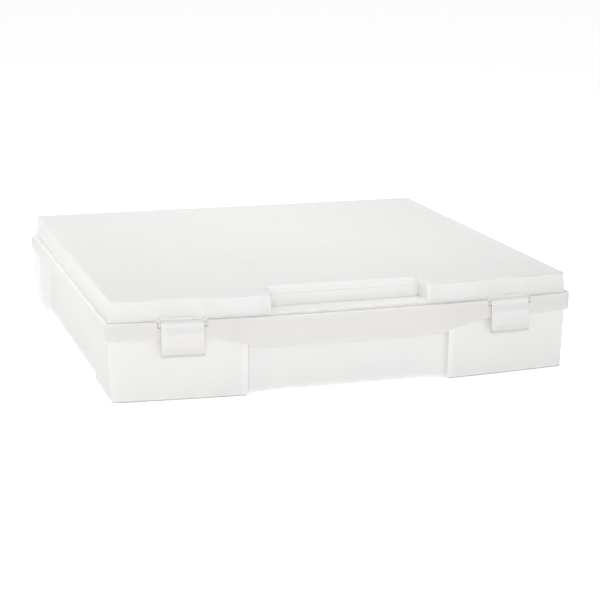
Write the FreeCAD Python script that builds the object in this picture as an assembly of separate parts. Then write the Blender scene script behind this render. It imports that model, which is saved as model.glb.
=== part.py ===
import FreeCAD, Part
import math
import os

# Moulded storage case for square sheets of paper: a tray, a lid hinged on it at the back, and two
# latches hinged on the lid at the front. Millimetres, +Z up, front towards -Y, origin under the
# middle of the closed case, on the floor that it stands on.

Vec = FreeCAD.Vector
UP = Vec(0, 0, 1)
FAR = 400.0  # longer than any side of the case, for cuts that run right out of it

# ---- the closed case ----
width = 362.0
depth = 353.5  # front of the bow to the back of the hinge knuckles
bow = 10.5  # how far the middle of the front stands out past its corners
corner_r = 8.0
edge_r = 1.2  # rounding of the lid's top edge
foot_r = 1.5  # rounding of the tray's bottom edge
rim_r = 0.4  # rounding of the rim's and the latches' outer edges

# ---- walls ----
wall = 2.0
floor_t = 2.0
plate_t = 2.0
skirt_t = 1.8
web_t = 1.8

# ---- where lid and tray part ----
parting_z = 59.75  # lower edge of the lid's wall
lid_h = 15.25  # from there to the top of the lid
parting_gap = 0.12
skirt_h = 13.55  # rim above the bare tray wall

# ---- how far the walls stand inside the rim ----
tray_top_in = 3.0
tray_foot_in = 4.6
lid_foot_in = 3.3
lid_top_in = 5.2

# ---- grip: the band, the recess behind it and the scallop above it ----
band_drop = 8.5  # the band's lower edge below the rim's
band_half = 70.0
band_ramp = 38.0
band_r = 14.0
recess_half = 80.0
recess_floor_half = 60.0
recess_depth = 14.5  # behind the front of the bow
recess_knee = 10.5  # where the recess's steep end meets its slanted one, behind the same
recess_lean = 2.5  # how far the steep end leans inwards
recess_end_r = 3.0
recess_blend_r = 14.0
scallop_half = 60.0
scallop_depth = 24.0
scallop_bevel = 4.0
scallop_mouth_r = 2.0
sill_t = 2.25  # sill below the scallop, above the parting

# ---- panels set back in the tray's sides and back ----
panel_depth = 7.5
panel_front_y = -106.0
panel_rear_y = 130.0
panel_slope = 11.0  # length of the slanted ends
panel_r = 3.0
column_foot_in = 3.0
column_foot_h = 17.0

# ---- lid hinge ----
knuckle_r = 5.0
hinge_pin_r = 2.0
hinge_drop = 8.75  # axis below the parting
hinge_press = 0.02  # pin in the tray
hinge_run = 0.08  # lid arm on the pin
pin_head_r = 3.5
pin_head_t = 1.5
pin_sink = 0.5  # pin head below the side face
pin_head_gap = 0.4
column_w = 10.0
arm_w = 11.2
lug_w = 10.0
arm_side_gap = 0.4
arm_back_gap = 1.5
lug_cap = 1.0  # material left past the pin's inner end
notch_drop = 15.0  # how far below the axis the rim and its walls leave room for the arm
rim_past_axis = 1.0
column_before_axis = 0.6
lid_before_axis = 0.7

# ---- latches ----
latch_x = 126.5
latch_w = 31.0
ear_w = 1.8
latch_side_gap = 0.3
latch_axis_drop = 2.3  # axis below the parting
latch_axis_in = 0.8  # axis inside the rim's face
barrel_r = 1.8
latch_pin_r = 0.95
latch_press = 0.01
latch_run = 0.05
latch_plate_t = 1.9
latch_face_gap = 0.5
latch_len = 25.55  # parting to the latch's lower edge
latch_lip = 1.3  # how far the finger lip flares out
lip_h = 6.0
lip_edge = 2.0
latch_bend_r = 6.0
lip_bend_r = 5.0
hook_reach = 2.1
hook_h = 2.3
hook_gap = 0.5
ledge_h = 3.0  # bar that the hook catches under
pocket_side_gap = 0.4
hook_w = 24.0
hook_side_gap = 0.5
barrel_gap = 0.5  # below the barrel and its ears
scoop_depth = 1.2  # shallow hollow in the lid's wall above each latch
scoop_r = 128.0
scoop_fade = 0.85  # how much shallower it is at the lid's top

# ---- ribs that centre the lid in the tray ----
rib_t = 1.4
rib_h = 4.0
rib_gap = 0.6
rib_end_gap = 6.0

# ---- worked out from the above ----
half_w = width / 2
front_y = -depth / 2
rear_y = depth / 2
bow_r = (half_w ** 2 + bow ** 2) / (2 * bow)
bow_cy = front_y + bow_r
rim_top = parting_z - parting_gap
web_z = rim_top - web_t
skirt_z = parting_z - skirt_h
band_z = skirt_z - band_drop
height = parting_z + lid_h
sill_top = parting_z + sill_t
plate_z = height - plate_t
hinge_y = rear_y - knuckle_r
hinge_z = parting_z - hinge_drop
rim_rear = hinge_y + rim_past_axis
column_rear = hinge_y - column_before_axis
lid_rear = hinge_y - lid_before_axis
back_y = hinge_y - knuckle_r - arm_back_gap  # outer face of the tray's back between the columns
column_x = half_w - column_w
arm_x = column_x - arm_side_gap
lug_x = arm_x - arm_w - arm_side_gap
panel_x = half_w - panel_depth
latch_half = latch_w / 2
ear_in = latch_half + latch_side_gap
ear_out = ear_in + ear_w
pocket_half = ear_out + pocket_side_gap
hook_half = hook_w / 2
slot_half = hook_half + hook_side_gap
latch_axis_z = parting_z - latch_axis_drop
ledge_z = skirt_z + ledge_h


# ---- outlines ----
def front_at(x, inset=0.0):
    """Y of the bowed front at x, a distance inset inside the rim's face."""
    return bow_cy - math.sqrt((bow_r - inset) ** 2 - x ** 2)


def arc_about(cx, cy, r, start, end, z):
    """Arc of radius r round a centre, between two angles in degrees."""
    points = []
    for share in (0.0, 0.5, 1.0):
        angle = math.radians(start + (end - start) * share)
        points.append(Vec(cx + r * math.cos(angle), cy + r * math.sin(angle), z))
    return Part.Arc(*points).toShape()


def plan(z, inset, back):
    """Closed plan outline of the case: bowed front, straight sides and back, four round corners."""
    side = half_w - inset
    front = bow_r - inset
    r = max(corner_r - inset, 1.0)
    cx = side - r
    cy = bow_cy - math.sqrt((front - r) ** 2 - cx ** 2)
    lean = math.degrees(math.atan2(cx, bow_cy - cy))  # how far round the bow the corner starts
    edges = [
        arc_about(0, bow_cy, front, -90 - lean, -90 + lean, z),
        arc_about(cx, cy, r, -90 + lean, 0, z),
        Part.makeLine(Vec(side, cy, z), Vec(side, back - r, z)),
        arc_about(cx, back - r, r, 0, 90, z),
        Part.makeLine(Vec(cx, back, z), Vec(-cx, back, z)),
        arc_about(-cx, back - r, r, 90, 180, z),
        Part.makeLine(Vec(-side, back - r, z), Vec(-side, cy, z)),
        arc_about(-cx, cy, r, 180, 270 - lean, z),
    ]
    return Part.Wire(edges)


def slab(z_lo, z_hi, inset, back):
    """Upright block with the case's plan."""
    return Part.Face(plan(z_lo, inset, back)).extrude(UP * (z_hi - z_lo))


def round_rim(block, back):
    """Rounds a block's edges that run along the rim's face, upper and lower."""
    block = block.removeSplitter()
    face = plan(0, 0, back)
    edges = []
    for edge in block.Edges:
        ends = [Part.Vertex(v.X, v.Y, 0) for v in edge.Vertexes]
        slope = edge.tangentAt((edge.FirstParameter + edge.LastParameter) / 2)
        if abs(slope.z) < 0.9 and all(face.distToShape(end)[0] < 0.01 for end in ends):
            edges.append(edge)
    return block.makeFillet(rim_r, edges)


def drafted(levels):
    """Block whose plan changes from level to level: (z, inset, back) in rising order."""
    return Part.makeLoft([plan(*level) for level in levels], True, True)


def grow(points, by):
    """The corners of an anticlockwise polygon with every side moved outwards."""
    moved = []
    for i, corner in enumerate(points):
        before, after = points[i - 1], points[(i + 1) % len(points)]
        lines = []
        for start, end in ((before, corner), (corner, after)):
            dx, dy = end[0] - start[0], end[1] - start[1]
            size = math.hypot(dx, dy)
            nx, ny = dy / size, -dx / size
            lines.append((nx, ny, nx * corner[0] + ny * corner[1] + by))
        (a, b, c), (d, e, f) = lines
        det = a * e - b * d
        moved.append(((c * e - b * f) / det, (a * f - c * d) / det))
    return moved


def outline(points, radii, place):
    """Closed wire through 2-D corners, each rounded by its radius, put in space by place(a, b)."""
    starts, arcs = [], []
    for i, corner in enumerate(points):
        before, after = points[i - 1], points[(i + 1) % len(points)]
        to_before = math.atan2(before[1] - corner[1], before[0] - corner[0])
        to_after = math.atan2(after[1] - corner[1], after[0] - corner[0])
        half = abs((to_after - to_before + math.pi) % (2 * math.pi) - math.pi) / 2
        reach = radii[i] / math.tan(half)
        first = (corner[0] + reach * math.cos(to_before), corner[1] + reach * math.sin(to_before))
        last = (corner[0] + reach * math.cos(to_after), corner[1] + reach * math.sin(to_after))
        starts.append((first, last))
        if radii[i]:
            out = radii[i] / math.sin(half)
            mx = math.cos(to_before) + math.cos(to_after)
            my = math.sin(to_before) + math.sin(to_after)
            share = (out - radii[i]) / math.hypot(mx, my)
            middle = (corner[0] + mx * share, corner[1] + my * share)
            arcs.append(Part.Arc(place(*first), place(*middle), place(*last)).toShape())
        else:
            arcs.append(None)
    edges = []
    for i, (first, last) in enumerate(starts):
        if arcs[i]:
            edges.append(arcs[i])
        edges.append(Part.makeLine(place(*last), place(*starts[(i + 1) % len(starts)][0])))
    return Part.Wire(edges)


def upright(points, z_lo, z_hi, radii=None):
    """Upright prism on a polygon in plan."""
    radii = radii or [0] * len(points)
    wire = outline(points, radii, lambda x, y: Vec(x, y, z_lo))
    return Part.Face(wire).extrude(UP * (z_hi - z_lo))


def crosswise(points, x_lo, x_hi, radii=None):
    """Prism along X on a polygon of (y, z) corners."""
    radii = radii or [0] * len(points)
    wire = outline(points, radii, lambda y, z: Vec(x_lo, y, z))
    return Part.Face(wire).extrude(Vec(x_hi - x_lo, 0, 0))


def box(x_lo, x_hi, y_lo, y_hi, z_lo, z_hi):
    return Part.makeBox(x_hi - x_lo, y_hi - y_lo, z_hi - z_lo, Vec(x_lo, y_lo, z_lo))


def rod(r, x_lo, x_hi, y, z):
    """Cylinder along X."""
    return Part.makeCylinder(r, x_hi - x_lo, Vec(x_lo, y, z), Vec(1, 0, 0))


def mirrored(shape):
    return shape.mirror(Vec(0, 0, 0), Vec(1, 0, 0))


def both(shape):
    """The shape on the right and its mirror image on the left."""
    return [shape, mirrored(shape)]


def at_latch(shape):
    """Moves a shape from the latch's own place to the right latch. There X runs along the front, Y is
    zero on the rim's face and negative outside it, and Z is the case's own."""
    lean = math.degrees(math.asin(latch_x / bow_r))
    moved = shape.copy()
    moved.rotate(Vec(0, 0, 0), UP, lean)
    moved.translate(Vec(latch_x, front_at(latch_x), 0))
    return moved


# ---- tray ----
def tray_in(z):
    """How far the tray's drafted wall stands inside the rim at height z."""
    return tray_foot_in + (tray_top_in - tray_foot_in) * z / web_z


def recess_cut(by):
    """The space behind the grip band, with its sides moved outwards by a wall for the inside."""
    right = [
        (recess_half + recess_lean / 2, front_y - recess_depth),
        (recess_half - recess_lean, front_y + recess_knee),
        (recess_floor_half, front_y + recess_depth),
    ]
    points = right + [(-x, y) for x, y in reversed(right)]
    radii = [0, recess_end_r + by, recess_blend_r + by, recess_blend_r + by, recess_end_r + by, 0]
    return upright(grow(points, by), -1.0, web_z, radii)


def panel_cuts(by):
    """The spaces outside the set-back panels of the two sides."""
    points = [
        (panel_x, panel_front_y + panel_slope),
        (half_w + panel_depth, panel_front_y - panel_slope),
        (half_w + panel_depth, panel_rear_y + panel_slope),
        (panel_x, panel_rear_y - panel_slope),
    ]
    radii = [panel_r + by, 0, 0, panel_r + by]
    return both(upright(grow(points, by), -1.0, web_z, radii))


def tray_body(by):
    """The tray's outside (by = 0), or its inside (by = wall), as a solid block."""
    foot = floor_t if by else 0.0
    top = parting_z if by else web_z
    behind = back_y + wall
    block = drafted([(foot, tray_in(foot) + by, behind), (top, tray_in(top) + by, behind)])
    corner_in = column_foot_in * (1 - foot / column_foot_h)
    columns = drafted([
        (foot, corner_in + by, column_rear),
        (column_foot_h, by, column_rear),
        (web_z, by, column_rear),
    ])
    columns = columns.common(box(-FAR, FAR, panel_rear_y - 2 * panel_slope, FAR, -1.0, height))
    block = block.fuse(columns)
    for cut in [recess_cut(by)] + panel_cuts(by):
        block = block.cut(cut)
    if by:
        return block.cut(box(-FAR, FAR, back_y - wall, FAR, -1.0, height))
    return block.cut(box(-column_x, column_x, back_y, FAR, -1.0, height))


def round_foot(block):
    """Rounds the tray's bottom edge."""
    block = block.removeSplitter()
    edges = [e for e in block.Edges if e.BoundBox.ZMax < 0.01]
    return block.makeFillet(foot_r, edges)


def rim():
    """The web that stands out from the wall's top, its hanging skirt and the deeper grip band."""
    lower = [(-band_half, band_z), (band_half, band_z), (band_half + band_ramp, skirt_z),
             (FAR, skirt_z), (FAR, rim_top), (-FAR, rim_top), (-FAR, skirt_z),
             (-band_half - band_ramp, skirt_z)]
    wire = outline(lower, [band_r, band_r, band_r, 0, 0, 0, 0, band_r], lambda x, z: Vec(x, -FAR, z))
    front = Part.Face(wire).extrude(Vec(0, FAR, 0))
    ring = slab(band_z, rim_top, 0, rim_rear).common(front)
    ring = ring.fuse(slab(skirt_z, rim_top, 0, rim_rear))
    ring = round_rim(ring, rim_rear)
    inside = slab(skirt_z, web_z, skirt_t, rim_rear - skirt_t)
    return ring.cut(inside.fuse(slab(band_z - 1, skirt_z, skirt_t, rim_rear)))


def hinge_lug(x_lo, x_hi):
    """Knuckle round the lid's axis, joined to the tray's back."""
    flat = box(x_lo, x_hi, back_y - wall / 2, hinge_y, hinge_z - knuckle_r, hinge_z + knuckle_r)
    return flat.fuse(rod(knuckle_r, x_lo, x_hi, hinge_y, hinge_z))


def make_tray():
    tray = round_foot(tray_body(0.0)).fuse(rim())
    notch = box(lug_x, column_x, back_y, FAR, hinge_z - notch_drop, height)
    for cut in both(notch):
        tray = tray.cut(cut)
    inner_lug = hinge_lug(lug_x - lug_w, lug_x)
    outer_lug = hinge_lug(column_x, half_w)
    ledge = at_latch(box(-slot_half, slot_half, -wall, tray_top_in + wall / 2, skirt_z, ledge_z))
    ledge = ledge.common(slab(0, height, 0, rim_rear))
    for piece in both(inner_lug) + both(outer_lug) + both(ledge):
        tray = tray.fuse(piece)
    tray = tray.cut(tray_body(wall))
    slot = box(-slot_half, slot_half, -wall, tray_top_in, ledge_z, height)
    pocket_z = latch_axis_z - barrel_r - barrel_gap
    pocket = at_latch(slot.fuse(box(-pocket_half, pocket_half, -wall, tray_top_in, pocket_z, height)))
    bore = rod(hinge_pin_r + hinge_press, lug_x - lug_w + lug_cap, half_w + 1, hinge_y, hinge_z)
    sink = rod(pin_head_r + pin_head_gap, half_w - pin_sink - pin_head_t, half_w + 1, hinge_y, hinge_z)
    for cut in both(pocket) + both(bore) + both(sink):
        tray = tray.cut(cut)
    return tray.removeSplitter()


# ---- lid ----
def scallop_cut(by):
    """The thumb scallop in the lid's front, grown by a wall for the inside."""
    face_y = front_y + scallop_depth
    points = [
        (face_y, sill_top),
        (face_y, height - scallop_bevel),
        (face_y + scallop_bevel + 1, height + 1),
        (-FAR, height + 1),
        (-FAR, sill_top),
    ]
    return crosswise(grow(points, by), -scallop_half - by, scallop_half + by)


def lid_scoops(by):
    """The shallow round hollows above the latches."""
    lean = (lid_top_in - lid_foot_in - scoop_fade) / lid_h
    foot = Vec(0, lid_foot_in + scoop_depth - scoop_r - lean * parting_z, 0)
    return both(at_latch(Part.makeCylinder(scoop_r + by, FAR, foot, Vec(0, lean, 1))))


def lid_body(by):
    """The lid's outside (by = 0), or its inside (by = wall)."""
    low = parting_z - 1 if by else parting_z
    top = plate_z if by else height
    back = lid_rear - by
    block = drafted([(low, lid_foot_in + by, back), (top, lid_top_in + by, back)])
    block = block.cut(scallop_cut(by))
    if not by:
        mouth = [e for e in block.Edges if e.BoundBox.ZLength > scallop_bevel
                 and e.BoundBox.ZMin > parting_z and e.BoundBox.XMax < scallop_half + 0.1
                 and e.BoundBox.YMax < front_y + scallop_depth / 2]
        block = block.makeFillet(scallop_mouth_r, mouth)
        edges = [e for e in block.Edges if e.BoundBox.ZMin > height - 0.01]
        block = block.makeFillet(edge_r, edges)
    for cut in lid_scoops(by):
        block = block.cut(cut)
    return block


def hinge_arm():
    """Arm that drops from the lid's back to its axis, on the right."""
    x_lo, x_hi = arm_x - arm_w, arm_x
    flat = box(x_lo, x_hi, hinge_y - knuckle_r, hinge_y + knuckle_r, hinge_z, sill_top)
    return flat.fuse(rod(knuckle_r, x_lo, x_hi, hinge_y, hinge_z))


def latch_ear():
    """Ear that holds one end of the latch's pin, in the latch's own place."""
    inner, root = latch_axis_in + barrel_r, lid_foot_in + wall / 2
    points = [
        (latch_axis_in, latch_axis_z),
        (inner, latch_axis_z),
        (inner, parting_z),
        (root, parting_z),
        (root, sill_top),
        (latch_axis_in, latch_axis_z + barrel_r),
    ]
    neck = crosswise(points, ear_in, ear_out)
    return neck.fuse(rod(barrel_r, ear_in, ear_out, latch_axis_in, latch_axis_z))


def centring_rib():
    """Rib round the lid's right front corner that drops just inside the tray's walls, with its shelf."""
    reach = tray_in(rim_top) + wall + rib_gap
    low = rim_top - rib_h
    rib = slab(low, sill_top, reach, lid_rear).cut(slab(low, sill_top, reach + rib_t, lid_rear))
    shelf = slab(parting_z, sill_top, lid_foot_in + wall / 2, lid_rear)
    shelf = shelf.cut(slab(parting_z, sill_top, reach + rib_t, lid_rear))
    corner = box(recess_half + wall + rib_end_gap, FAR, -FAR, panel_front_y - rib_end_gap, 0, height)
    return rib.fuse(shelf).common(corner)


def make_lid():
    lid = lid_body(0.0).cut(lid_body(wall))
    ears = [at_latch(latch_ear()), at_latch(mirrored(latch_ear()))]
    for piece in [hinge_arm(), centring_rib()] + ears:
        for one in both(piece):
            lid = lid.fuse(one)
    bore = rod(hinge_pin_r + hinge_run, arm_x - arm_w - 1, arm_x + 1, hinge_y, hinge_z)
    small = at_latch(rod(latch_pin_r + latch_press, -ear_out - 1, ear_out + 1, latch_axis_in, latch_axis_z))
    for cut in both(bore) + both(small):
        lid = lid.cut(cut)
    return lid.removeSplitter()


# ---- latches and pins ----
def latch():
    """Latch in its own place: barrel on the pin, plate over the rim, hook under the ledge, finger lip."""
    inner = -latch_face_gap
    outer = inner - latch_plate_t
    foot = parting_z - latch_len
    hook_top = skirt_z - hook_gap
    back = latch_axis_in + barrel_r
    crest = ledge_z + 2 * hook_gap
    lip = outer - latch_lip
    points = [
        (latch_axis_in - barrel_r, latch_axis_z),
        (outer, crest),
        (outer, foot + lip_h),
        (lip, foot + lip_edge),
        (lip + lip_edge / 2, foot),
        (inner - latch_lip, foot),
        (inner, foot + lip_h),
        (inner, latch_axis_z - barrel_r),
        (back, latch_axis_z),
        (latch_axis_in, latch_axis_z),
    ]
    plate = crosswise(points, -latch_half, latch_half, [0, latch_bend_r, lip_bend_r] + [0] * 7)
    outside = [e for e in plate.Edges if e.BoundBox.YMax < inner - 0.1 and e.BoundBox.XLength < 0.01]
    plate = plate.makeFillet(rim_r, outside)
    hook = [
        (inner - latch_plate_t / 2, hook_top - hook_h),
        (inner, hook_top - hook_h),
        (inner + hook_reach, hook_top - hook_h / 2),
        (inner + hook_reach, hook_top),
        (inner - latch_plate_t / 2, hook_top),
    ]
    plate = plate.fuse(crosswise(hook, -hook_half, hook_half))
    plate = plate.fuse(rod(barrel_r, -latch_half, latch_half, latch_axis_in, latch_axis_z))
    bore = rod(latch_pin_r + latch_run, -latch_half - 1, latch_half + 1, latch_axis_in, latch_axis_z)
    return plate.cut(bore).removeSplitter()


def hinge_pin():
    """Headed pin, put in from the side face, on the right."""
    outer = half_w - pin_sink
    shank = rod(hinge_pin_r, lug_x - lug_w + lug_cap + pin_sink, outer, hinge_y, hinge_z)
    head = rod(pin_head_r, outer - pin_head_t, outer, hinge_y, hinge_z)
    return shank.fuse(head).removeSplitter()


def main():
    right_latch = at_latch(latch())
    right_latch_pin = at_latch(rod(latch_pin_r, -ear_out, ear_out, latch_axis_in, latch_axis_z))
    nodes = {
        "tray": make_tray(),
        "lid": make_lid(),
        "latch_left": mirrored(right_latch),
        "latch_right": right_latch,
        "latch_pin_left": mirrored(right_latch_pin),
        "latch_pin_right": right_latch_pin,
        "hinge_pin_left": mirrored(hinge_pin()),
        "hinge_pin_right": hinge_pin(),
    }
    os.makedirs("parts", exist_ok=True)
    for name, shape in nodes.items():
        solids = shape.Solids
        box_ = shape.BoundBox
        print(name, len(solids), "valid" if shape.isValid() else "NOT VALID", round(shape.Volume),
              [round(v, 2) for v in (box_.XMin, box_.XMax, box_.YMin, box_.YMax, box_.ZMin, box_.ZMax)])
        out = solids[0] if len(solids) == 1 else shape
        out.exportStep("parts/" + name + ".step")


main()
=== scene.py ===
import math

import bpy
from mathutils import Matrix, Vector


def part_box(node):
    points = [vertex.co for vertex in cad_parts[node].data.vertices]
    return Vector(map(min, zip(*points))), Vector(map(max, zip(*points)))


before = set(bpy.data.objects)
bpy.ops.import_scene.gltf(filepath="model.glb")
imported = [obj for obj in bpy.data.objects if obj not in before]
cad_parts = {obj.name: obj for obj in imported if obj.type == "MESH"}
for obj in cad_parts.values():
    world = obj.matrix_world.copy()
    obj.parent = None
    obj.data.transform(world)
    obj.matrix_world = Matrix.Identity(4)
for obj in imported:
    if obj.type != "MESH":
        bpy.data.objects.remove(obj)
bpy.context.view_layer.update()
TRAY_LOW, TRAY_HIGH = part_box("tray")
LID_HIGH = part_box("lid")[1]
LATCH_LOW, LATCH_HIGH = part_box("latch_right")

# ---- the studio: where the camera stands and what the lamps give ----
CAMERA_PLACE = Vector((-0.3930, -1.2884, 0.3557))
CAMERA_YAW = math.radians(17.575)  # towards +X
CAMERA_PITCH = math.radians(13.73)  # downwards
CAMERA_ROLL = math.radians(0.42)
CAMERA_LENS_MM = 100.15
FLOOR_HALF = 6.0
FLOOR_GLOW = 0.6  # white that the camera sees on the floor besides the light that falls on it
FLOOR_BOUNCE = 0.285  # and what the plastic gets of it
AIR = 0.4  # strength of the studio's white surroundings as a light
AIR_MIRRORED = 0.8  # and where gloss shows them
LAMPS = {  # place, aim, diameter in metres, watts
    "above": ((0.03, 0.10, 0.70), (0.03, 0.08, 0.07), 0.4, 2.45),
    "high_left": ((-0.9, 0.25, 0.95), (-0.1, 0.05, 0.05), 1.1, 2.63),
    "front": ((-0.5, -1.7, 0.35), (-0.02, -0.1, 0.03), 0.8, 9.0),
    "left": ((-1.5, 0.3, 0.4), (-0.15, 0.0, 0.03), 0.9, 3.47),
    "front_right": ((1.2, -1.5, 0.35), (0.05, -0.1, 0.03), 0.8, 2.4),
}

# ---- places on the closed case, from the frame's corners ----
HALF_WIDTH = TRAY_HIGH.x
FRONT = TRAY_LOW.y  # the middle of the bowed rim
REAR = LID_HIGH.y
TOP = LID_HIGH.z
BOW = 0.0105  # how far the middle of the front stands out past its corners
PARTING = TRAY_HIGH.z + 0.00007  # where tray and lid meet
RIM_LOW = PARTING - 0.0135  # lower edge of the skirt that hangs round the tray's rim
RIM_SIDE = HALF_WIDTH - 0.013, HALF_WIDTH - 0.005  # the rim's painted shade deepens over this, outwards
RIM_CORNER = FRONT + 0.01375, FRONT + 0.03175  # and over this, from front to back
FRONT_BLOCKS = FRONT + 0.02675  # the blocks beside the grip lie in front of this
BLOCK_INNER = 0.077, 0.079  # the inner ends of the blocks
BLOCK_FOOT = 0.0009, 0.0015  # the painted contact shadow at a block's foot ends over this, upwards
BLOCK_FOOT_REAR = FRONT + 0.01675, FRONT + 0.01875  # and over this, backwards
SIDE_PANEL = HALF_WIDTH - 0.0105  # the tray's sides lie outside this
SIDE_FRONT = FRONT + 0.01875
SIDE_REAR = REAR - 0.06075  # where the set-back panel of a side ends
BAND_LOW = RIM_LOW - 0.0085  # lower edge of the grip band, in the middle of the front
BAND_HALF = 0.070  # the band is at its lowest as far out as this, to each side
BAND_RAMP = 0.038  # and climbs to the rim's lower edge over this
BAND_BACK = FRONT + 0.00475  # just behind the band's inner face
BOW_RISE = BOW / HALF_WIDTH ** 2  # how fast the bow falls back with the square of the distance to the side
RECESS_HALF = 0.084
RECESS_TOP = PARTING - 0.0097, PARTING - 0.0017  # the painted light on the wall behind the grip ends over this, upwards
STEP_FRONT = FRONT + 0.00875, FRONT + 0.02075  # the painted glow on the step grows over this, from the front's bowed step to the sides' straight one
STEP_CORNER = HALF_WIDTH - 0.039, HALF_WIDTH - 0.019  # the painted glow on the front's step grows over this, outwards
SCALLOP_HALF = 0.060
SCALLOP_BACK = FRONT + 0.03075  # the scallop and its bevel lie in front of this
SCALLOP_FOOT = FRONT + 0.02055, FRONT + 0.02275  # the foot of the scallop's wall, from front to back
SILL = PARTING + 0.0023  # top of the sill under the scallop
BEVEL_LOW = TOP - 0.0040  # lower edge of the bevel over the scallop
LID_FRONT = FRONT + 0.02675  # the lid's front wall lies in front of this
LID_EDGE = TOP - 0.0011  # the lid's rounded top edge begins here
LID_FLAT = TOP - 0.0001, TOP - 0.00001  # and has ended here
BESIDE_SCALLOP = 0.068, 0.102  # the stretch of the lid's front wall that has painted light
LATCH_PLACE = (LATCH_LOW.x + LATCH_HIGH.x) / 2
POCKET_HALF = 0.0185
POCKET_LOW = PARTING - 0.0047
POCKET_BACK = FRONT + 0.01375
BARREL_LOW = LATCH_HIGH.z - 0.00425, LATCH_HIGH.z - 0.00275  # lower side of a latch's barrel; above it the barrel has a painted glow
PLATE_FADE = LATCH_LOW.z + 0.0018, LATCH_HIGH.z - 0.00325  # a plate's painted shade deepens over this, downwards
LIP_TOP = LATCH_LOW.z + 0.0020, LATCH_LOW.z + 0.0024  # upper edge of a latch's lip; below it the lip has a painted shadow
EASE = 0.0003  # over which a patch of tint ends, to each side

# ---- plastic, with the tints of its painted light and shade ----
MILKY = (0.93, 0.922, 0.90)
PAINTED_SHADE_TINT = (0.80, 0.782, 0.765, 1.0)  # painted shade on the rim and the grip band
# painted light: a lighter tint blended in where light is painted
PAINTED_LIGHT_TINT = (0.985, 0.978, 0.955, 1.0)
LATCH_TINT = (0.90, 0.89, 0.872)
PIN_TINT = (0.82, 0.82, 0.80)
DARK = (0.0, 0.0, 0.0, 1.0)
# colour and strength of the painted glow; the plastic is no lamp
EDGE_LIGHT = (1.0, 0.99, 0.97, 1.0)
EDGE_GLOW = 0.25

# ---- numbers of the sockets that share a name with others or come from a long list ----
OBJECT_PLACE = 3  # of Texture Coordinate
CAMERA_RAY, GLOSSY_RAY, TRANSMITTED_RAY = 0, 3, 6  # of Light Path
MIX_SHARE, MIX_FIRST, MIX_SECOND = 0, 6, 7  # of a Mix node that blends two colours


class Value:
    """A shader socket that arithmetic can be written on: each operator adds one Math node."""

    def __init__(self, tree, socket):
        self.tree = tree
        self.socket = socket

    def math(self, operation, other=0.0):
        return self.tree.node("ShaderNodeMath", {"operation": operation}, {0: self, 1: other})[0]

    def __add__(self, other):
        return self.math("ADD", other)

    def __sub__(self, other):
        return self.math("SUBTRACT", other)

    def __rsub__(self, other):
        return self.tree.node("ShaderNodeMath", {"operation": "SUBTRACT"}, {0: other, 1: self})[0]

    def __mul__(self, other):
        return self.math("MULTIPLY", other)

    __radd__ = __add__
    __rmul__ = __mul__


class Finish:
    """A procedural material. node() adds any node: its type, its settings, its sockets."""

    def __init__(self, name):
        self.material = bpy.data.materials.new(name)
        self.material.use_nodes = True
        self.take(self.material.node_tree)

    def take(self, tree):
        self.nodes = tree.nodes
        self.links = tree.links
        self.nodes.clear()

    @classmethod
    def of(cls, tree):
        made = cls.__new__(cls)
        made.take(tree)
        return made

    def node(self, kind, settings=None, sockets=None):
        made = self.nodes.new(kind)
        for key, value in (settings or {}).items():
            setattr(made, key, value)
        for key, value in (sockets or {}).items():
            if isinstance(value, Value):
                self.links.new(value.socket, made.inputs[key])
            else:
                made.inputs[key].default_value = value
        return [Value(self, s) for s in made.outputs if s.enabled]

    def place(self):
        return self.node("ShaderNodeTexCoord")[OBJECT_PLACE]

    def noise(self, place, scale, detail=2.0, roughness=0.5):
        return self.node("ShaderNodeTexNoise", {},
                         {"Vector": place, "Scale": scale, "Detail": detail, "Roughness": roughness})[0]

    def step(self, value, low, high):
        """Nought below low, one above high, eased between."""
        return self.node("ShaderNodeMapRange", {"interpolation_type": "SMOOTHSTEP"},
                         {"Value": value, "From Min": low, "From Max": high})[0]

    def fall(self, value, low, high):
        """One below low, nought above high."""
        return 1.0 - self.step(value, low, high)

    def within(self, value, low, high, soft=EASE):
        """One from low to high, nought beyond, eased over soft to each side."""
        return self.step(value, low - soft, low + soft) * self.fall(value, high - soft, high + soft)

    def blend(self, share, first, second):
        return self.node("ShaderNodeMix", {"data_type": "RGBA"},
                         {MIX_SHARE: share, MIX_FIRST: first, MIX_SECOND: second})[0]

    def finish(self, shader):
        self.node("ShaderNodeOutputMaterial", {}, {"Surface": shader})
        return self.material


def shaded(tint, share):
    return tuple(c * share for c in tint) + (1.0,)


def painted_rim_shade(f, beside, y, z):
    """How much painted shade greys the rim and the grip band: deepest low on the band and towards the rim's
    sides.
    """
    climb = ((beside - BAND_HALF) * ((RIM_LOW - BAND_LOW) / BAND_RAMP)).math("MAXIMUM", 0.0)
    behind = f.step(y, FRONT_BLOCKS, FRONT_BLOCKS + 0.002)
    foot = (behind + climb + BAND_LOW).math("MINIMUM", RIM_LOW)
    share = f.fall(z, BAND_LOW, BAND_LOW + 0.012) * 0.25 + 0.8
    share = share + f.step(beside, *RIM_SIDE) * f.step(y, *RIM_CORNER) * 0.3
    return f.step(z - foot, -0.0004, 0.0004) * f.fall(z, PARTING - 0.0002, PARTING + 0.0002) * share


def painted_recess_light(f, beside, y, z):
    """One on the wall at the back of the grip's recess, where painted light lightens it."""
    inside = f.fall(beside, RECESS_HALF - 0.004, RECESS_HALF)
    behind = f.step(y, BAND_BACK, BAND_BACK + 0.001) * f.fall(y, FRONT_BLOCKS - 0.001, FRONT_BLOCKS)
    return inside * behind * f.fall(z, *RECESS_TOP)


def scallop_place(f, beside, y):
    """One in the scallop and on the bevel over it."""
    inside = f.fall(beside, SCALLOP_HALF - 0.005, SCALLOP_HALF - 0.001)
    return inside * f.fall(y, SCALLOP_BACK, SCALLOP_BACK + 0.002)


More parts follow.
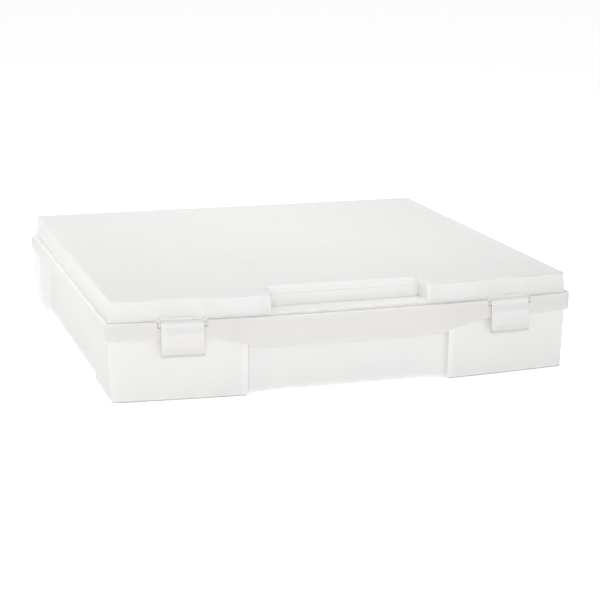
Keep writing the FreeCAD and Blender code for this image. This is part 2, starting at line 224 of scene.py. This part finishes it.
def painted_edge_glow(f, beside, y, z, scallop):
    """How much painted glow the plastic gives off, though it is no lamp: at the step that the lid's wall
    stands on, on the scallop's wall and its foot, and inside the pockets round the latches' barrels."""
    step = f.within(z, PARTING - 0.0005, PARTING + 0.0010)
    step = step * (f.step(y, *STEP_FRONT) * 0.18 + f.step(beside, *STEP_CORNER) * 0.10 + 0.13)
    foot = f.within(z, SILL - 0.0004, SILL + 0.0008) * scallop * f.step(y, *SCALLOP_FOOT) * 0.3
    wall = f.step(z, SILL, SILL + 0.0004) * scallop * 0.14
    inside = f.step(y - beside * beside * BOW_RISE, FRONT + 0.0006, FRONT + 0.0012)
    inside = inside * f.fall(y, POCKET_BACK, POCKET_BACK + 0.002)
    pocket = f.within(beside, LATCH_PLACE - POCKET_HALF, LATCH_PLACE + POCKET_HALF, 0.0005)
    pocket = pocket * inside * f.within(z, POCKET_LOW, PARTING + 0.0012) * 0.3
    return step.math("MAXIMUM", foot.math("MAXIMUM", wall)).math("MAXIMUM", pocket)


def case_painted_light_and_shade(f, colour, tint, place):
    """Tray and lid where they aren't plain: the colour there, with painted light and shade, and the share of
    painted glow.
    """
    x, y, z = f.node("ShaderNodeSeparateXYZ", {}, {0: place})
    beside = x.math("ABSOLUTE")
    scallop = scallop_place(f, beside, y)
    # painted shade on the set-back panels of the tray's sides, under the rim
    panel = f.step(beside, SIDE_PANEL, SIDE_PANEL + 0.0007) * f.fall(z, RIM_LOW, RIM_LOW + 0.001)
    panel = panel * f.within(y, SIDE_FRONT, SIDE_REAR, 0.003)
    # painted contact shadow along the foot of each block beside the grip
    foot = f.fall(z, *BLOCK_FOOT) * f.step(beside, *BLOCK_INNER) * f.fall(y, *BLOCK_FOOT_REAR)
    # painted shade on the lid's rounded top edge, except over the scallop
    edge = f.step(z, LID_EDGE, LID_EDGE + 0.0004) * (1.0 - scallop) * f.fall(z, *LID_FLAT)
    # painted light on the sill under the scallop and on the lid's front wall beside it
    front = f.within(beside, *BESIDE_SCALLOP, 0.010) * f.fall(y, LID_FRONT, LID_FRONT + 0.002)
    front = front * f.within(z, PARTING + 0.0004, LID_EDGE, 0.0002)
    lit = (f.step(z, SILL + 0.0004, SILL + 0.0008) * scallop).math("MAXIMUM", front)
    # painted shade in the crease under the scallop's bevel
    crease = f.within(z, BEVEL_LOW - 0.0007, BEVEL_LOW, 0.0002) * scallop
    glow = painted_edge_glow(f, beside, y, z, scallop)
    # each share blends in a painted shade or a painted light
    for share, shade in ((painted_rim_shade(f, beside, y, z), PAINTED_SHADE_TINT), (painted_recess_light(f, beside, y, z) * 0.8, PAINTED_LIGHT_TINT),
                         (panel, shaded(tint, 0.88)), (foot, shaded(tint, 0.55)), (edge, shaded(tint, 0.90)),
                         (lit * 0.8, PAINTED_LIGHT_TINT), (crease, shaded(tint, 0.80)),
                         ((glow * 3.0).math("MINIMUM", 1.0), PAINTED_LIGHT_TINT)):
        colour = f.blend(share, colour, shade)
    return colour, glow


def latch_painted_light_and_shade(f, colour, tint, place):
    """A latch and its pin: painted shade that deepens downwards, a darker painted shadow on the lip, a
    painted glow at the barrel.
    """
    z = f.node("ShaderNodeSeparateXYZ", {}, {0: place})[2]
    colour = f.blend(f.step(z, *PLATE_FADE), shaded(tint, 0.90), colour)
    colour = f.blend(f.fall(z, *LIP_TOP), colour, shaded(tint, 0.66))
    return colour, f.step(z, *BARREL_LOW) * 0.25


def moulded(name, tint, alpha, gloss, paint_light_and_shade):
    """Milky polypropylene: slow clouding from the melt's flow, a fine spark-eroded grain, a faint sink, and
    the painted light, shade and glow passed in.
    """
    f = Finish(name)
    place = f.place()
    cloud = f.noise(place, 9.0, 2.0)
    along = f.node("ShaderNodeMapping", {}, {"Vector": place, "Scale": (6.0, 30.0, 30.0)})[0]
    streak = f.noise(along, 1.0, 3.0)
    grain = f.noise(place, 1500.0, 1.0)
    sink = f.noise(place, 16.0, 1.0)
    milk = cloud * 0.7 + streak * 0.3
    colour, glow = paint_light_and_shade(f, f.blend(milk, shaded(tint, 0.975), shaded(tint, 1.0)), tint, place)
    fine = f.node("ShaderNodeBump", {}, {"Strength": 0.2, "Distance": 0.00002, "Height": grain})[0]
    wavy = f.node("ShaderNodeBump", {}, {
        "Strength": 0.35, "Distance": 0.0005, "Height": sink, "Normal": fine})[0]
    shader = f.node("ShaderNodeBsdfPrincipled", {}, {
        "Base Color": colour,
        # painted glow where glow is set
        "Emission Color": f.blend(glow, DARK, EDGE_LIGHT),
        "Emission Strength": EDGE_GLOW,
        "Roughness": milk * 0.1 + gloss,
        "IOR": 1.49,
        "Alpha": milk * 0.06 + (alpha - 0.03),
        "Subsurface Weight": 0.5,
        "Subsurface Scale": 0.004,
        "Subsurface Radius": (1.0, 1.0, 0.9),
        "Normal": wavy})[0]
    return f.finish(shader)


def white_floor():
    f = Finish("studio_floor")
    path = f.node("ShaderNodeLightPath")
    seen = path[CAMERA_RAY].math("MAXIMUM", path[GLOSSY_RAY])
    diffuse = f.node("ShaderNodeBsdfDiffuse", {}, {"Color": (0.94, 0.94, 0.94, 1.0)})[0]
    strength = seen * (FLOOR_GLOW - FLOOR_BOUNCE) + FLOOR_BOUNCE
    glow = f.node("ShaderNodeEmission", {}, {"Color": (1.0, 1.0, 1.0, 1.0), "Strength": strength})[0]
    both = f.node("ShaderNodeAddShader", {}, {0: diffuse, 1: glow})[0]
    return f.finish(both)


def stand_camera(scene):
    """Looks along yaw and pitch, then tips by the roll."""
    camera = bpy.data.cameras.new("camera")
    camera.lens = CAMERA_LENS_MM
    camera.sensor_width = 36.0
    camera.clip_end = 50.0
    eye = bpy.data.objects.new("camera", camera)
    ahead = Vector((math.sin(CAMERA_YAW) * math.cos(CAMERA_PITCH),
                    math.cos(CAMERA_YAW) * math.cos(CAMERA_PITCH), -math.sin(CAMERA_PITCH)))
    level = Vector((math.cos(CAMERA_YAW), -math.sin(CAMERA_YAW), 0.0))
    above = level.cross(ahead)
    right = level * math.cos(CAMERA_ROLL) + above * math.sin(CAMERA_ROLL)
    up = above * math.cos(CAMERA_ROLL) - level * math.sin(CAMERA_ROLL)
    turn = Matrix((right, up, -ahead)).transposed()
    eye.matrix_world = Matrix.Translation(CAMERA_PLACE) @ turn.to_4x4()
    scene.collection.objects.link(eye)
    scene.camera = eye


def lay_floor(scene):
    mesh = bpy.data.meshes.new("studio_floor")
    h = FLOOR_HALF
    mesh.from_pydata([(-h, -h, 0), (h, -h, 0), (h, h, 0), (-h, h, 0)], [], [(0, 1, 2, 3)])
    mesh.materials.append(white_floor())
    floor = bpy.data.objects.new("studio_floor", mesh)
    scene.collection.objects.link(floor)


def white_air(scene):
    """Pure white where the camera looks past the case, and weaker as a light and in what gloss mirrors."""
    world = bpy.data.worlds.new("studio_air")
    scene.world = world
    world.use_nodes = True
    air = Finish.of(world.node_tree)
    path = air.node("ShaderNodeLightPath")
    mirrored = path[GLOSSY_RAY].math("MAXIMUM", path[TRANSMITTED_RAY]) * AIR_MIRRORED
    seen = path[CAMERA_RAY].math("MAXIMUM", mirrored).math("MAXIMUM", AIR)
    glow = air.node("ShaderNodeBackground", {}, {"Color": (1.0, 1.0, 1.0, 1.0), "Strength": seen})[0]
    air.node("ShaderNodeOutputWorld", {}, {"Surface": glow})


def hang_lamps(scene):
    for name, (place, target, size, power) in LAMPS.items():
        lamp = bpy.data.lights.new(name, "AREA")
        lamp.shape = "DISK"
        lamp.size = size
        lamp.energy = power
        lit = bpy.data.objects.new(name, lamp)
        lit.location = place
        lit.rotation_euler = (Vector(target) - Vector(place)).to_track_quat("-Z", "Y").to_euler()
        scene.collection.objects.link(lit)


scene = bpy.context.scene
stand_camera(scene)
lay_floor(scene)
white_air(scene)
hang_lamps(scene)
scene.view_settings.view_transform = "Standard"
scene.cycles.transparent_max_bounces = 32  # enough for every wall behind another

case_plastic = moulded("case_plastic", MILKY, alpha=0.86, gloss=0.34, paint_light_and_shade=case_painted_light_and_shade)
latch_plastic = moulded("latch_plastic", LATCH_TINT, alpha=0.90, gloss=0.40, paint_light_and_shade=latch_painted_light_and_shade)
pin_plastic = moulded("pin_plastic", PIN_TINT, alpha=0.97, gloss=0.30, paint_light_and_shade=latch_painted_light_and_shade)
for name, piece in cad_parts.items():
    piece.data.materials.clear()
    finish = pin_plastic if "pin" in name else latch_plastic if "latch" in name else case_plastic
    piece.data.materials.append(finish)
